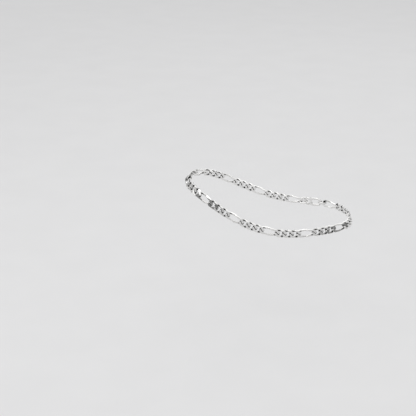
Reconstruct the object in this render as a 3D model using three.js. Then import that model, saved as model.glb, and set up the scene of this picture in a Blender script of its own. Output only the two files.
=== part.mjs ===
import * as THREE from "three";

// A flat figaro anklet, worn round an ankle. Millimetres, +Z up, toes towards -X, heel towards +X.
// The origin is the middle of the loop, where the ankle passes through.

// The chain: one long link, then three short ones, over and over, with a long link at each end.
const BAND_WIDTH = 5.0;
const BAND_THICKNESS = 1.8;
const LINK_WIRE = 1.3;
const SHORT_PITCH = 4.0;
const LONG_PITCH = 8.9;
const SHORTS_PER_LONG = 3;
const REPEATS = 11;
const PLAY = 0.3;

// Each link is twisted so that its two ends lean opposite ways and its neighbours lie flat beside it.
const END_TWIST = THREE.MathUtils.degToRad(50);
const TWIST_POWER = 0.8;

// The fastening: a claw clasp in one closed piece, and a soldered ring at each end of it.
const RING_WIRE = 0.9;
const RING_HOLE = 3.6;
const RING_PLAY = 0.5;
const RING_LEAN = THREE.MathUtils.degToRad(65);
const CLASP_PITCH = 9.0;
const CLASP_THICKNESS = 1.2;
const CLASP_BAR = 1.0;
const CLASP_EYE = 3.0;
const CLASP_WIDTH = 5.4;
const CLASP_SIDE = 1.2;

// The loop as it is worn: a blunt oval seen from above, high at the instep, low at both sides.
const LOOP_HALF_LENGTH = 47.5;
const LOOP_HALF_WIDTH = 28.6;
const LOOP_BLUNTNESS = 2.25;
const INSTEP_RISE = 10.5;
const SIDE_DROOP = 8.6;

// The band lies on the skin, so its outer face tips up over the instep and above the heel.
const TIP_AT_INSTEP = THREE.MathUtils.degToRad(42);
const TIP_AT_SIDES = THREE.MathUtils.degToRad(7);
const TIP_AT_HEEL = THREE.MathUtils.degToRad(20);
const TIP_POWER = 3;

// Where the middle of the clasp lies: its distance along the loop from the heel, by the near side.
const CLASP_PLACE = 216.6;

// Fineness of the faceted wires.
const WIRE_SIDES = 8;
const SHORT_LINK_STEPS = 16;
const LONG_LINK_STEPS = 20;
const RING_STEPS = 16;
const CLASP_CURVE_STEPS = 8;

const RING_PITCH = RING_HOLE - RING_PLAY;
const CHAIN_RUN = REPEATS * (LONG_PITCH + SHORTS_PER_LONG * SHORT_PITCH) + LONG_PITCH;
const FASTENING_RUN = CLASP_PITCH + 2 * RING_PITCH;
const LOOP_LENGTH = CHAIN_RUN + FASTENING_RUN;

const silver = () => new THREE.MeshStandardMaterial({ color: 0xdfe0e2, roughness: 0.16, metalness: 1 });

// The middle line of a twisted oval link, with its long way along X and its outer face towards +Z.
class LinkLine extends THREE.Curve {
  constructor(pitch) {
    super();
    this.bowRadius = (BAND_WIDTH - LINK_WIRE) / 2;
    this.halfReach = (pitch + PLAY + LINK_WIRE) / 2;
    this.halfRail = this.halfReach - this.bowRadius;
  }

  // The flat oval before the twist: a point of it, and the way out from it in its own plane.
  flatOval(t) {
    const bow = Math.PI * this.bowRadius;
    const rail = 2 * this.halfRail;
    const way = t * 2 * (bow + rail);
    const half = bow + rail;
    const turned = way >= half;
    const along = turned ? way - half : way;
    const sign = turned ? -1 : 1;
    const angle = THREE.MathUtils.clamp((along - rail / 2) / this.bowRadius, 0, Math.PI);
    const onFarRail = along > rail / 2 + bow;
    const railX = onFarRail ? this.halfRail - (along - rail / 2 - bow) : Math.min(along, rail / 2);
    const x = railX + this.bowRadius * Math.sin(angle);
    const y = this.bowRadius * Math.cos(angle);
    return {
      point: new THREE.Vector3(sign * x, sign * y, 0),
      outward: new THREE.Vector3(sign * Math.sin(angle), sign * Math.cos(angle), 0),
    };
  }

  twistAt(x) {
    return Math.sign(x) * END_TWIST * Math.pow(Math.abs(x) / this.halfReach, TWIST_POWER);
  }

  getPoint(t) {
    const { point } = this.flatOval(t);
    return point.applyAxisAngle(new THREE.Vector3(1, 0, 0), this.twistAt(point.x));
  }

  computeFrenetFrames(steps) {
    const frames = { tangents: [], normals: [], binormals: [] };
    for (let i = 0; i <= steps; i++) {
      const t = this.getUtoTmapping(i / steps) % 1;
      const { point, outward } = this.flatOval(t);
      const tangent = this.getTangent(t);
      const normal = outward.applyAxisAngle(new THREE.Vector3(1, 0, 0), this.twistAt(point.x));
      normal.addScaledVector(tangent, -normal.dot(tangent)).normalize();
      frames.tangents.push(tangent);
      frames.normals.push(normal);
      frames.binormals.push(new THREE.Vector3().crossVectors(tangent, normal));
    }
    return frames;
  }
}

// A link is a closed ring of round wire, drawn out and twisted, then pressed flat on both faces.
function makeLink(pitch, steps) {
  const geometry = new THREE.TubeGeometry(new LinkLine(pitch), steps, LINK_WIRE / 2, WIRE_SIDES, true);
  const place = geometry.getAttribute("position");
  for (let i = 0; i < place.count; i++) {
    place.setZ(i, THREE.MathUtils.clamp(place.getZ(i), -BAND_THICKNESS / 2, BAND_THICKNESS / 2));
  }
  return geometry;
}

// A soldered ring, leaning about the chain's run so that it crosses both of its neighbours.
function makeRing(lean) {
  const radius = (RING_HOLE + RING_WIRE) / 2;
  const geometry = new THREE.TorusGeometry(radius, RING_WIRE / 2, WIRE_SIDES, RING_STEPS);
  return geometry.rotateX(lean);
}

// The closed clasp: a pear-shaped plate with a claw hole towards +X and a small eye towards -X.
function makeClasp() {
  const reach = (CLASP_PITCH + RING_PLAY) / 2;
  const eyeX = -reach + CLASP_EYE / 2;
  const eyeRadius = CLASP_EYE / 2 + CLASP_BAR;
  const bodyBack = eyeX + CLASP_EYE / 2;
  const bodyX = (bodyBack + reach + CLASP_BAR) / 2;
  const bodyRadius = (reach + CLASP_BAR - bodyBack) / 2;
  const outline = new THREE.Shape();
  outline.absarc(eyeX, 0, eyeRadius, Math.PI / 3, Math.PI * 5 / 3, false);
  outline.quadraticCurveTo(bodyBack, -CLASP_WIDTH / 2, bodyX, -CLASP_WIDTH / 2);
  outline.absellipse(bodyX, 0, bodyRadius, CLASP_WIDTH / 2, -Math.PI / 2, Math.PI / 2, false);
  outline.quadraticCurveTo(bodyBack, CLASP_WIDTH / 2,
    eyeX + eyeRadius * Math.cos(Math.PI / 3), eyeRadius * Math.sin(Math.PI / 3));
  const eye = new THREE.Path().absarc(eyeX, 0, CLASP_EYE / 2, 0, 2 * Math.PI, true);
  const holeRadius = CLASP_WIDTH / 2 - CLASP_SIDE;
  const hole = new THREE.Path().absarc(reach - holeRadius, 0, holeRadius, Math.PI / 2, -Math.PI / 2, true);
  hole.absarc(bodyBack + CLASP_BAR + holeRadius, 0, holeRadius, -Math.PI / 2, -Math.PI * 3 / 2, true);
  outline.holes.push(eye, hole);
  const geometry = new THREE.ExtrudeGeometry(outline, {
    depth: CLASP_THICKNESS, bevelEnabled: false, curveSegments: CLASP_CURVE_STEPS,
  });
  return geometry.translate(0, 0, -CLASP_THICKNESS / 2);
}

// The line that the middle of the band follows, from the heel by the near side to the instep and back.
class WornLoop extends THREE.Curve {
  constructor(scale) {
    super();
    this.scale = scale;
    this.arcLengthDivisions = 4000;
  }

  getPoint(t) {
    const angle = 2 * Math.PI * t;
    const lengthwise = Math.abs(Math.cos(angle)) ** LOOP_BLUNTNESS;
    const crosswise = Math.abs(Math.sin(angle)) ** LOOP_BLUNTNESS;
    const radius = (lengthwise + crosswise) ** (-1 / LOOP_BLUNTNESS);
    const toHeel = radius * Math.cos(angle);
    return new THREE.Vector3(
      LOOP_HALF_LENGTH * toHeel,
      -LOOP_HALF_WIDTH * radius * Math.sin(angle),
      -INSTEP_RISE * toHeel - SIDE_DROOP * (1 - toHeel * toHeel) ** 2,
    ).multiplyScalar(this.scale);
  }

  pointAlong(distance) {
    return this.getPointAt(THREE.MathUtils.euclideanModulo(distance / LOOP_LENGTH, 1));
  }
}

const loop = new WornLoop(LOOP_LENGTH / new WornLoop(1).getLength());

// The way that the band's outer face looks at a place of the loop.
function outwardAt(point, run) {
  const toHeel = point.x / (LOOP_HALF_LENGTH * loop.scale);
  const tipAtEnd = toHeel > 0 ? TIP_AT_HEEL : TIP_AT_INSTEP;
  const tip = THREE.MathUtils.lerp(TIP_AT_SIDES, tipAtEnd, Math.min(1, Math.abs(toHeel)) ** TIP_POWER);
  const level = new THREE.Vector3(-run.y, run.x, 0).normalize();
  const outward = level.multiplyScalar(Math.cos(tip)).setZ(Math.sin(tip));
  return outward.addScaledVector(run, -outward.dot(run)).normalize();
}

// Places a piece between two points of the loop, its X along the run and its Z out from the skin.
function placePiece(name, geometry, start, pitch) {
  const from = loop.pointAlong(start);
  const to = loop.pointAlong(start + pitch);
  const run = new THREE.Vector3().subVectors(to, from).normalize();
  const middle = new THREE.Vector3().addVectors(from, to).multiplyScalar(0.5);
  const outward = outwardAt(middle, run);
  const across = new THREE.Vector3().crossVectors(outward, run);
  const piece = new THREE.Mesh(geometry, silver());
  piece.name = name;
  piece.position.copy(middle);
  piece.quaternion.setFromRotationMatrix(new THREE.Matrix4().makeBasis(run, across, outward));
  return piece;
}

const numbered = (name, count) => `${name}_${String(count).padStart(2, "0")}`;

function makeChain(start) {
  const chain = new THREE.Group();
  const longLink = makeLink(LONG_PITCH, LONG_LINK_STEPS);
  const shortLink = makeLink(SHORT_PITCH, SHORT_LINK_STEPS);
  let at = start;
  for (let repeat = 0; repeat <= REPEATS; repeat++) {
    chain.add(placePiece(numbered("long_link", repeat + 1), longLink, at, LONG_PITCH));
    at += LONG_PITCH;
    for (let i = 1; i <= SHORTS_PER_LONG && repeat < REPEATS; i++) {
      chain.add(placePiece(numbered("short_link", repeat * SHORTS_PER_LONG + i), shortLink, at, SHORT_PITCH));
      at += SHORT_PITCH;
    }
  }
  return chain;
}

function makeFastening(start) {
  const fastening = new THREE.Group();
  fastening.add(placePiece("ring_at_eye", makeRing(-RING_LEAN), start, RING_PITCH));
  fastening.add(placePiece("clasp", makeClasp(), start + RING_PITCH, CLASP_PITCH));
  fastening.add(placePiece("ring_at_claw", makeRing(RING_LEAN), start + RING_PITCH + CLASP_PITCH, RING_PITCH));
  return fastening;
}

const anklet = new THREE.Group();
anklet.add(makeFastening(CLASP_PLACE - FASTENING_RUN / 2));
anklet.add(makeChain(CLASP_PLACE + FASTENING_RUN / 2));

export default anklet;
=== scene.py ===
import math

import bmesh
import bpy
import numpy as np
from mathutils import Matrix, Vector


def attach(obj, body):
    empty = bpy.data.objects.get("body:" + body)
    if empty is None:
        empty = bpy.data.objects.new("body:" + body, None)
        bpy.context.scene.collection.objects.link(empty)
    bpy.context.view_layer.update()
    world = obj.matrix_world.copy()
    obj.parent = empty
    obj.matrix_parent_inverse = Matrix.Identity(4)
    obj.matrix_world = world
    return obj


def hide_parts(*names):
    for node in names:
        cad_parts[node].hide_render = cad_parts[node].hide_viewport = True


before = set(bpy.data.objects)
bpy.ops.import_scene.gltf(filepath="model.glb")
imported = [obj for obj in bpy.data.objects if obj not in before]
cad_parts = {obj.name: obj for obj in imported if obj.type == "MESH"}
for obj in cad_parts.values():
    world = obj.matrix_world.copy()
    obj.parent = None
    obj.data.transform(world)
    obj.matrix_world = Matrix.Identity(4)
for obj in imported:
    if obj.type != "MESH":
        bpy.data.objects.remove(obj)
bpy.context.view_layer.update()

MM = 0.001

# ---------------------------------------------------------------------------------------------------------
# The long links. Each is a length of round silver wire, bent to an oval and soldered shut, then twisted so
# that its ends lean opposite ways. The linked chain is rolled flat, its outer edges are cut with a diamond
# tool, and it is polished bright.

LINK_WIRE = 1.3 * MM
LINK_PLAY = 0.3 * MM                   # how far a link can slide before it meets its neighbour
LINK_TWIST = math.radians(50)          # the lean of each end
TWIST_POWER = 0.8                      # under 1, the twist starts early on the rails
WIRE_SIDES = 28
LONG_LINK_STEPS = 132
EDGE_CUT_SLOPE = math.radians(40)
EDGE_CUT_INSET = 0.62 * MM             # how far in from the chain's edge the cut leaves the flat face
CREASE = math.radians(24)
LINK_SILVER = (0.88, 0.875, 0.865)
# Painted highlight: the edge cuts are given a lighter silver, standing in for the bright line of light they
# mirror.
CUT_HIGHLIGHT_SILVER = (0.97, 0.965, 0.955)
CLOUDED_SILVER = (0.72, 0.715, 0.705)
# Painted shade: a near-black colour laid where the links pass through each other and lie close, standing in
# for the shade in the crossings.
PAINTED_SHADE = (0.012, 0.012, 0.012)
SHADE_REACH = 1.2 * MM               # the gap to a neighbour at which the painted shade has faded out
SHADE_DARKEST = 0.5                  # the share of that gap under which it is full
SHADE_TOP = 0.70 * MM                # the height over the link's middle above which no shade is painted, as the raised faces catch the light
SHADE_FADE = 0.22 * MM
CLOUD_SCALE = 420
PIT_SCALE = 2600
LINE_SCALE = 9000
LINE_STRETCH = (0.12, 1.0, 1.0)        # polishing lines run along the piece
POLISH_DEPTH = 0.016 * MM
POLISH_STRENGTH = 0.35
LINK_ROUGHNESS = 0.07


def seat_of(node):
    """A node's seat: X along the chain, Y across it, Z out from the skin; and its size those three ways."""
    corners = np.array([v.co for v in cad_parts[node].data.vertices])
    middle = corners.mean(0)
    ways = np.linalg.eigh(np.cov((corners - middle).T))[1]
    outward, along = ways[:, 0], ways[:, 2]
    from_leg = np.array([middle[0], middle[1], 0])
    outward = outward * np.sign(outward @ from_leg)
    along = along * np.sign(along @ np.cross(from_leg, [0, 0, 1]))
    axes = np.stack([along, np.cross(outward, along), outward], 1)
    low, high = (corners @ axes).min(0), (corners @ axes).max(0)
    seat = Matrix.Translation(axes @ (low + high) / 2) @ Matrix(axes).to_4x4()
    return seat, high - low


def link_line(size, steps):
    """The middle line of a twisted link, and at each point of it the way out from the hole."""
    reach, bow = (size[0] - LINK_WIRE) / 2, (size[1] - LINK_WIRE) / 2
    half_rail = reach - bow
    half_way = 2 * half_rail + math.pi * bow
    way = np.arange(steps) / steps * 2 * half_way
    side = np.where(way < half_way, 1, -1)
    way = way % half_way
    angle = np.clip((way - half_rail) / bow, 0, math.pi)
    rail = np.minimum(way, half_rail) - np.clip(way - half_rail - math.pi * bow, 0, None)
    x, y = side * (rail + bow * np.sin(angle)), side * bow * np.cos(angle)
    twist = np.sign(x) * LINK_TWIST * (np.abs(x) / reach) ** TWIST_POWER
    line = np.stack([x, y * np.cos(twist), y * np.sin(twist)], 1)
    out_x, out_y = side * np.sin(angle), side * np.cos(angle)
    outward = np.stack([out_x, out_y * np.cos(twist), out_y * np.sin(twist)], 1)
    return line, outward


def closed_wire(line, outward, radius, sides):
    """A closed round wire along a line, as a bmesh."""
    run = np.roll(line, -1, 0) - np.roll(line, 1, 0)
    run /= np.linalg.norm(run, axis=1, keepdims=True)
    outward = outward - run * np.sum(run * outward, 1, keepdims=True)
    outward /= np.linalg.norm(outward, axis=1, keepdims=True)
    beside = np.cross(run, outward)
    turn = np.arange(sides) / sides * 2 * math.pi
    ring = outward[:, None] * np.cos(turn)[None, :, None] + beside[:, None] * np.sin(turn)[None, :, None]
    wire = bmesh.new()
    rows = [[wire.verts.new(p) for p in row] for row in line[:, None] + radius * ring]
    for a, b in zip(rows, rows[1:] + rows[:1]):
        for i in range(sides):
            j = (i + 1) % sides
            wire.faces.new((a[i], a[j], b[j], b[i])).smooth = True
    return wire


def shave(piece, point, outward):
    """Takes off what stands out past a plane and leaves a flat face, as rolls and diamond tools do."""
    everything = piece.verts[:] + piece.edges[:] + piece.faces[:]
    cut = bmesh.ops.bisect_plane(piece, geom=everything, plane_co=point, plane_no=outward,
                                 clear_outer=True)
    rim = [part for part in cut["geom_cut"] if isinstance(part, bmesh.types.BMEdge)]
    bmesh.ops.holes_fill(piece, edges=rim, sides=0)


def finished_mesh(name, shape, material, crease=CREASE):
    """A bmesh as a mesh, with crisp edges only where two faces meet at more than the crease."""
    bmesh.ops.recalc_face_normals(shape, faces=shape.faces)
    mesh = bpy.data.meshes.new(name)
    shape.to_mesh(mesh)
    shape.free()
    mesh.set_sharp_from_angle(angle=crease)
    mesh.materials.append(material)
    return mesh


def link_mesh(name, size, steps):
    """A twisted oval of wire, rolled flat on both faces and cut along its four outer edges."""
    line, outward = link_line(size, steps)
    link = closed_wire(line, outward, LINK_WIRE / 2, WIRE_SIDES)
    half_width, half_thick = size[1] / 2, size[2] / 2
    for face in (1, -1):
        shave(link, (0, 0, face * half_thick), (0, 0, face))
        for side in (1, -1):
            slope = (0, side * math.sin(EDGE_CUT_SLOPE), face * math.cos(EDGE_CUT_SLOPE))
            shave(link, (0, side * (half_width - EDGE_CUT_INSET), face * half_thick), slope)
    return finished_mesh(name, link, link_silver)


class Flow:
    """A value on its way between nodes. Adding to it or multiplying it adds a Math node."""

    def __init__(self, nodes, socket):
        self.nodes = nodes
        self.socket = socket

    def maths(self, operation, first, second):
        return self.nodes.add("ShaderNodeMath", {"operation": operation}, {0: first, 1: second})

    def __add__(self, other):
        return self.maths("ADD", self, other)

    def __radd__(self, other):
        return self.maths("ADD", other, self)

    def __mul__(self, other):
        return self.maths("MULTIPLY", self, other)

    def __rmul__(self, other):
        return self.maths("MULTIPLY", other, self)


class Nodes:
    """The nodes of one material, or of the room."""

    def __init__(self, owner):
        owner.use_nodes = True
        self.tree = owner.node_tree

    def add(self, kind, settings, values, output=0):
        node = self.tree.nodes.new(kind)
        for key, value in settings.items():
            setattr(node, key, value)
        self.feed(node, values)
        return Flow(self, node.outputs[output])

    def feed(self, node, values):
        for key, value in values.items():
            if isinstance(value, Flow):
                self.tree.links.new(value.socket, node.inputs[key])
            elif isinstance(value, tuple) and len(node.inputs[key].default_value) == 4:
                node.inputs[key].default_value = (*value, 1)
            else:
                node.inputs[key].default_value = value

    def place(self):
        return self.add("ShaderNodeTexCoord", {}, {}, output="Object")

    def marked(self, name):
        return self.add("ShaderNodeAttribute", {"attribute_name": name}, {}, output="Fac")

    def noise(self, place, scale, detail):
        return self.add("ShaderNodeTexNoise", {}, {"Vector": place, "Scale": scale, "Detail": detail})

    def blend(self, share, first, second):
        return self.add("ShaderNodeMix", {"data_type": "RGBA"}, {0: share, 6: first, 7: second}, output=2)


def polished_silver(name, bright, roughness):
    """Bright sterling: faint clouding, fine polishing lines along the piece, painted shade where marked, and
    the marked edge cuts painted lighter as a highlight.
    """
    silver = bpy.data.materials.new(name)
    nodes = Nodes(silver)
    place = nodes.place()
    drawn_out = nodes.add("ShaderNodeVectorMath", {"operation": "MULTIPLY"}, {0: place, 1: LINE_STRETCH})
    cloud = nodes.noise(place, CLOUD_SCALE, detail=3)
    pits = nodes.noise(place, PIT_SCALE, detail=4)
    lines = nodes.noise(drawn_out, LINE_SCALE, detail=2)
    # painted shade where the links cross, a little uneven in strength
    painted_shade = nodes.marked("painted_shade") * (0.75 + 0.5 * cloud)
    worn = nodes.blend(0.5 * cloud + 0.3 * pits * lines, bright, CLOUDED_SILVER)
    # painted highlight: the edge-cut faces blended to a lighter silver
    cut = nodes.blend(nodes.marked("edge_cut_highlight"), worn, CUT_HIGHLIGHT_SILVER)
    bump = nodes.add("ShaderNodeBump", {}, {"Height": 1.6 * cloud + 0.6 * lines + 0.5 * pits,
                                            "Strength": POLISH_STRENGTH, "Distance": POLISH_DEPTH})
    nodes.feed(silver.node_tree.nodes["Principled BSDF"], {
        "Metallic": 1.0,
        "Base Color": nodes.blend(painted_shade, cut, PAINTED_SHADE),
        "Roughness": roughness + 0.10 * cloud * cloud + 0.05 * lines + 0.22 * painted_shade,
        "Normal": bump})
    return silver


def mark(mesh, name, domain, values):
    """Writes a value from 0 to 1 on each point or face of a mesh, for its material to read."""
    values = np.clip(values, 0, 1).astype(np.float32)
    mesh.attributes.new(name, "FLOAT", domain).data.foreach_set("value", values)


def mark_link(mesh, neighbour, spacing):
    """Marks the edge cuts, painted lighter as a highlight, and the painted shade where a point is sunk and
    close to a neighbour's wire.
    """
    points = np.array([v.co for v in mesh.vertices])
    wires = np.concatenate([neighbour + (shift, 0, 0) for shift in (-spacing, spacing)])
    gaps = np.linalg.norm(points[:, None] - wires, axis=2).min(1) - LINK_WIRE / 2
    # painted shade: strongest where a point lies sunk and close to a neighbour's wire
    tight = np.clip((1 - gaps / SHADE_REACH) / SHADE_DARKEST, 0, 1)
    sunk = np.clip((SHADE_TOP - np.abs(points[:, 2])) / SHADE_FADE, 0, 1)
    mark(mesh, "painted_shade", "POINT", tight * sunk)
    # the faces of the edge cuts, to be painted lighter as a highlight
    highlight_cuts = [len(face.vertices) > 4 and abs(face.normal.y) > 0.3 for face in mesh.polygons]
    mark(mesh, "edge_cut_highlight", "FACE", np.array(highlight_cuts))


def place_piece(node, mesh, seat):
    """Hangs a finished piece in its seat, in place of the plain solid."""
    piece = bpy.data.objects.new("fine_" + node, mesh)
    bpy.context.collection.objects.link(piece)
    piece.matrix_world = seat
    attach(piece, "root")
    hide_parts(node)


def place_links(kind, steps):
    """Every link of a kind, marked where it passes through its neighbours."""
    nodes = sorted(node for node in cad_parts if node.startswith(kind))
    size, neighbour = seat_of(nodes[0])[1], seat_of("short_link_01")[1]
    mesh = link_mesh(kind, size, steps)
    spacing = (size[0] + neighbour[0]) / 2 - 2 * LINK_WIRE - LINK_PLAY
    mark_link(mesh, link_line(neighbour, steps)[0], spacing)
    for node in nodes:
        place_piece(node, mesh, seat_of(node)[0])


link_silver = polished_silver("link_silver", LINK_SILVER, LINK_ROUGHNESS)
place_links("long_link", LONG_LINK_STEPS)

# ---------------------------------------------------------------------------------------------------------
# The short links. Three of them part each two long ones. They are made of the same wire in the same way,
# and are so close to round that their neighbours fill their holes.

SHORT_LINK_STEPS = 96

place_links("short_link", SHORT_LINK_STEPS)

# ---------------------------------------------------------------------------------------------------------
# The two soldered rings. Each is a turn of thinner round wire, and joins an end of the chain to the clasp.

RING_WIRE = 0.9 * MM
RING_STEPS = 72
RING_SIDES = 20
FASTENING_SILVER = (0.86, 0.855, 0.845)
FASTENING_ROUGHNESS = 0.10

fastening_silver = polished_silver("fastening_silver", FASTENING_SILVER, FASTENING_ROUGHNESS)
for node in ("ring_at_eye", "ring_at_claw"):
    seat, size = seat_of(node)
    turn = np.arange(RING_STEPS) / RING_STEPS * 2 * math.pi
    outward = np.stack([np.cos(turn), np.sin(turn), 0 * turn], 1)
    ring = closed_wire(outward * (size[0] - RING_WIRE) / 2, outward, RING_WIRE / 2, RING_SIDES)
    place_piece(node, finished_mesh(node, ring, fastening_silver), seat)

# ---------------------------------------------------------------------------------------------------------
# The clasp. It is one plain closed claw, cast in silver and tumbled smooth: a small eye at one end for its
# ring, and a long hole that holds the ring at the other end of the chain.

CLASP_BAR = 1.0 * MM                   # the metal round the eye and at both ends of the claw hole
CLASP_EYE = 3.0 * MM
CLASP_SIDE = 1.2 * MM                  # the metal beside the claw hole
CLASP_ROUNDING = 0.42 * MM
CLASP_CREASE = math.radians(50)
CLASP_NECK = 60                        # where the eye's rim runs out into the body, in degrees
NECK_STEPS = 10
RIM_STEPS = 28
NOSE_STEPS = 36
CLAW_HOLE_STEPS = 20
EYE_HOLE_STEPS = 32
SEAM = 0.002 * MM                      # points nearer than this are one point


def arc(x, radius, start, end, steps, squash=1.0):
    """Points round part of a circle, or of an ellipse, that stands on the clasp's middle line."""
    turns = [math.radians(start + (end - start) * i / steps) for i in range(steps + 1)]
    return [(x + radius * squash * math.cos(a), radius * math.sin(a)) for a in turns]


def clasp_outline(size):
    """The clasp's outer edge, its eye and its claw hole, each as a closed ring of points."""
    reach, half_width = size[0] / 2, size[1] / 2
    eye_x = CLASP_BAR + CLASP_EYE / 2 - reach
    eye_back = eye_x + CLASP_EYE / 2
    body_x = (eye_back + reach) / 2
    rim = arc(eye_x, CLASP_EYE / 2 + CLASP_BAR, CLASP_NECK, 360 - CLASP_NECK, RIM_STEPS)
    start, corner, end = Vector(rim[-1]), Vector((eye_back, -half_width)), Vector((body_x, -half_width))
    neck = []
    for t in (i / NECK_STEPS for i in range(1, NECK_STEPS)):
        neck.append(tuple((1 - t) ** 2 * start + 2 * t * (1 - t) * corner + t * t * end))
    nose = arc(body_x, half_width, -90, 90, NOSE_STEPS, squash=(reach - body_x) / half_width)
    other_neck = [(x, -y) for x, y in reversed(neck)]
    end_radius = half_width - CLASP_SIDE
    claw_hole = arc(reach - CLASP_BAR - end_radius, end_radius, 90, -90, CLAW_HOLE_STEPS)
    claw_hole += arc(eye_back + CLASP_BAR + end_radius, end_radius, -90, -270, CLAW_HOLE_STEPS)
    eye_hole = arc(eye_x, CLASP_EYE / 2, 0, -360, EYE_HOLE_STEPS)[:-1]
    return rim + neck + nose + other_neck, eye_hole, claw_hole


def clasp_mesh(size):
    """The clasp: its outline filled, thickened, and rounded over on every edge."""
    flat = bpy.data.curves.new("clasp", "CURVE")
    flat.dimensions = "2D"
    flat.fill_mode = "BOTH"
    flat.extrude = size[2] / 2 - CLASP_ROUNDING
    flat.bevel_depth = CLASP_ROUNDING
    flat.bevel_resolution = 5
    flat.offset = -CLASP_ROUNDING
    for ring in clasp_outline(size):
        spline = flat.splines.new("POLY")
        spline.points.add(len(ring) - 1)
        spline.points.foreach_set("co", [v for x, y in ring for v in (x, y, 0, 1)])
        spline.use_cyclic_u = True
    carrier = bpy.data.objects.new("clasp", flat)
    bpy.context.collection.objects.link(carrier)
    bpy.context.view_layer.update()
    shape = bmesh.new()
    shape.from_mesh(carrier.to_mesh())
    bpy.data.objects.remove(carrier)
    bmesh.ops.remove_doubles(shape, verts=shape.verts, dist=SEAM)
    for face in shape.faces:
        face.smooth = True
    return finished_mesh("clasp", shape, fastening_silver, CLASP_CREASE)


seat, size = seat_of("clasp")
place_piece("clasp", clasp_mesh(size), seat)

# ---------------------------------------------------------------------------------------------------------
# The setting: a plain pale floor a little under the anklet, soft lights overhead, in front, behind and at
# each side, and a room around them that is dark low down and pale high up, for the silver to reflect.

FLOOR_DROP = 0.075
FLOOR_SIZE = 8.0
FLOOR_PALE = (0.71, 0.71, 0.715)
FLOOR_PALER = (0.75, 0.75, 0.755)
FLOOR_ROUGHNESS = 0.6
MOTTLE_SCALE = 30
LIGHTS = (
    # name, place, size, watts
    ("overhead", (-0.10, 0.12, 0.62), (0.50, 0.36), 0.42),
    ("left_side", (-0.60, -0.25, 0.28), (0.14, 0.50), 0.26),
    ("right_side", (0.60, -0.10, 0.20), (0.10, 0.45), 0.14),
    ("behind", (0.10, 0.75, 0.45), (0.60, 0.25), 0.26),
    ("strip_in_front", (-0.11, -0.40, 0.64), (0.60, 0.16), 0.34),
)
WALLS = {"From Min": 0.12, "From Max": 0.5, "To Min": 0.18, "To Max": 0.95}   # dark low down, pale high up
BACKDROP = (0.62, 0.62, 0.625)

paint = bpy.data.materials.new("floor_paint")
nodes = Nodes(paint)
mottle = nodes.noise(nodes.place(), MOTTLE_SCALE, detail=3)
nodes.feed(paint.node_tree.nodes["Principled BSDF"],
           {"Base Color": nodes.blend(mottle, FLOOR_PALE, FLOOR_PALER), "Roughness": FLOOR_ROUGHNESS})
floor_shape = bmesh.new()
bmesh.ops.create_grid(floor_shape, x_segments=8, y_segments=8, size=FLOOR_SIZE / 2)
floor = bpy.data.objects.new("floor", finished_mesh("floor", floor_shape, paint))
bpy.context.collection.objects.link(floor)
floor.location.z = -FLOOR_DROP

for name, place, size, watts in LIGHTS:
    lamp = bpy.data.lights.new(name, "AREA")
    lamp.shape = "RECTANGLE"
    lamp.size, lamp.size_y = size
    lamp.energy = watts
    holder = bpy.data.objects.new(name, lamp)
    bpy.context.collection.objects.link(holder)
    holder.location = place
    holder.rotation_euler = (-Vector(place)).to_track_quat("-Z", "Y").to_euler()

room = bpy.data.worlds.new("room")
bpy.context.scene.world = room
nodes = Nodes(room)
way = nodes.add("ShaderNodeTexCoord", {}, {}, output="Generated")
height = nodes.add("ShaderNodeSeparateXYZ", {}, {0: way}, output="Z")
walls = nodes.add("ShaderNodeMapRange", {}, {"Value": height, **WALLS})
seen = nodes.add("ShaderNodeLightPath", {}, {}, output="Is Camera Ray")
nodes.feed(room.node_tree.nodes["Background"], {"Color": nodes.blend(seen, walls, BACKDROP)})
bpy.context.scene.view_settings.view_transform = "Standard"

# ---------------------------------------------------------------------------------------------------------
# The camera looks a little down on the side of the ankle, from a little behind it, with the anklet to the
# right of the middle, because the foot would reach away to the left.

CAMERA_LENS = 100
CAMERA_DISTANCE = 0.6795
CAMERA_AZIMUTH = math.radians(9)
CAMERA_HEIGHT = math.radians(21)
CAMERA_AIM = Vector((-0.0359, 0, -0.0081))

camera = bpy.data.objects.new("camera", bpy.data.cameras.new("camera"))
bpy.context.collection.objects.link(camera)
camera.data.lens = CAMERA_LENS
level = math.cos(CAMERA_HEIGHT)
back = Vector((level * math.sin(CAMERA_AZIMUTH), -level * math.cos(CAMERA_AZIMUTH), math.sin(CAMERA_HEIGHT)))
camera.location = CAMERA_AIM + back * CAMERA_DISTANCE
camera.rotation_euler = (-back).to_track_quat("-Z", "Y").to_euler()
bpy.context.scene.camera = camera
